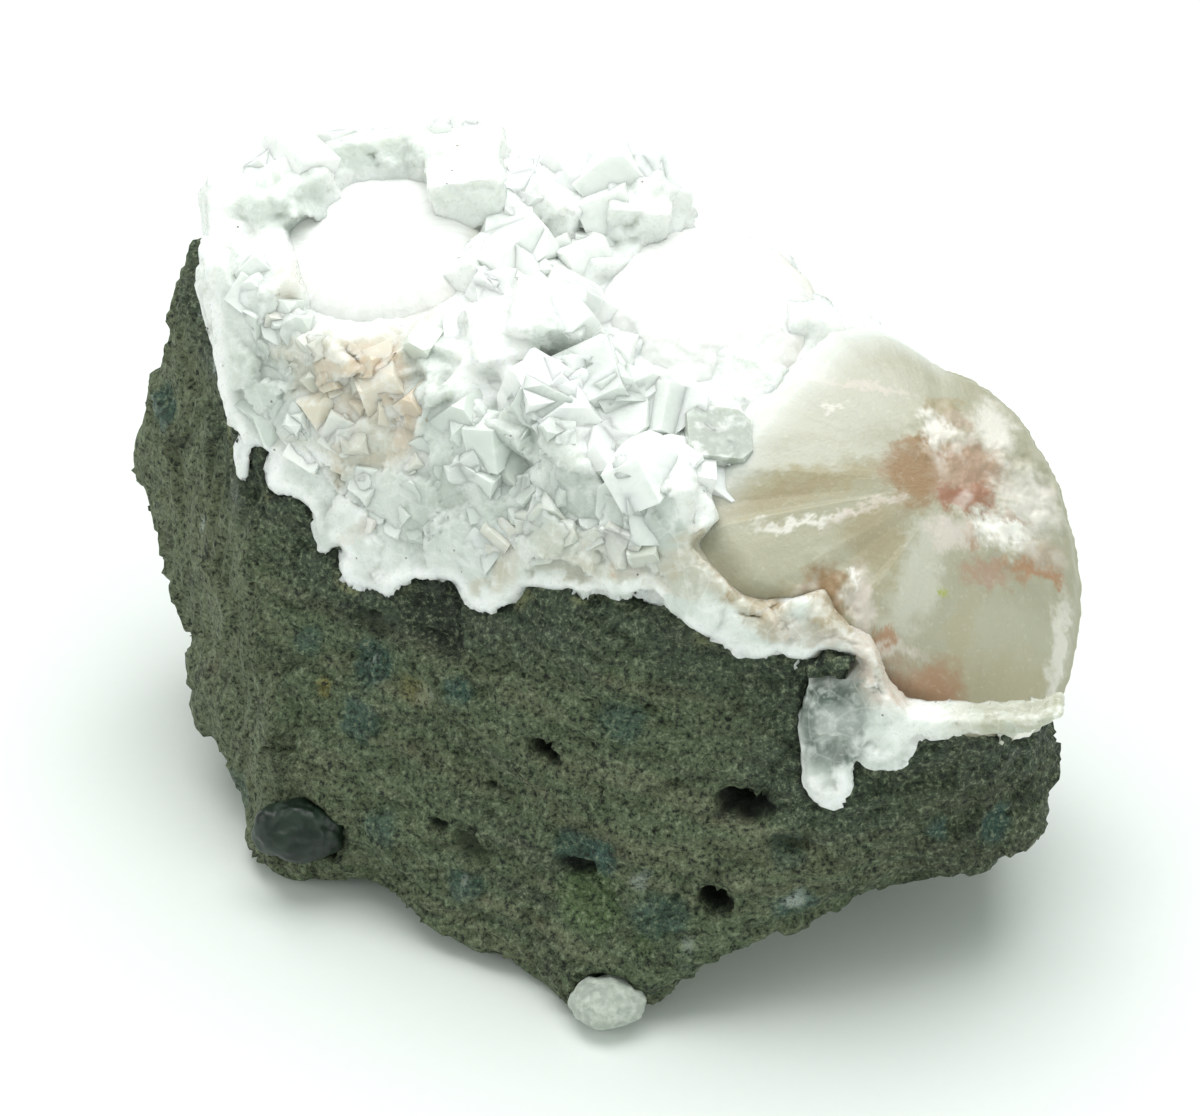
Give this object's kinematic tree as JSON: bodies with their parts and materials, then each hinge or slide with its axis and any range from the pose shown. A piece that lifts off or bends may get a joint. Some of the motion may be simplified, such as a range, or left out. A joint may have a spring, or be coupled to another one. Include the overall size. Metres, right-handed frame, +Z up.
{
  "type": "apophyllite cluster",
  "caption": "Hand specimen of apophyllite and stilbite on basalt: a broken dark block with a crust of clear blocky crystals, white balls and a cream fan on top.",
  "frame": {"origin": "under the middle of the bounding box, on the surface that the specimen stands on", "axes": "+Z up; +X along the block's length, towards the end with the fan; the broken face that shows basalt and crust together looks to -Y"},
  "size_m": [0.0953, 0.0696, 0.0651],
  "materials": {
    "basalt": "matt, fine-grained broken stone",
    "apophyllite": "clear to milky crystal faces, glassy to pearly",
    "stilbite": "pearly to satin radiating fibres, peach at the core",
    "white_fibres": "dull white, finely fibrous",
    "celadonite": "waxy dark green",
    "white_filling": "dull white"
  },
  "bodies": {
    "root": {"basalt_matrix": "basalt", "apophyllite_crust": "apophyllite", "stilbite_fan": "stilbite", "upper_ball": "white_fibres", "second_ball": "white_fibres", "celadonite_nodule": "celadonite", "toe_filling": "white_filling"}
  },
  "joints": []
}
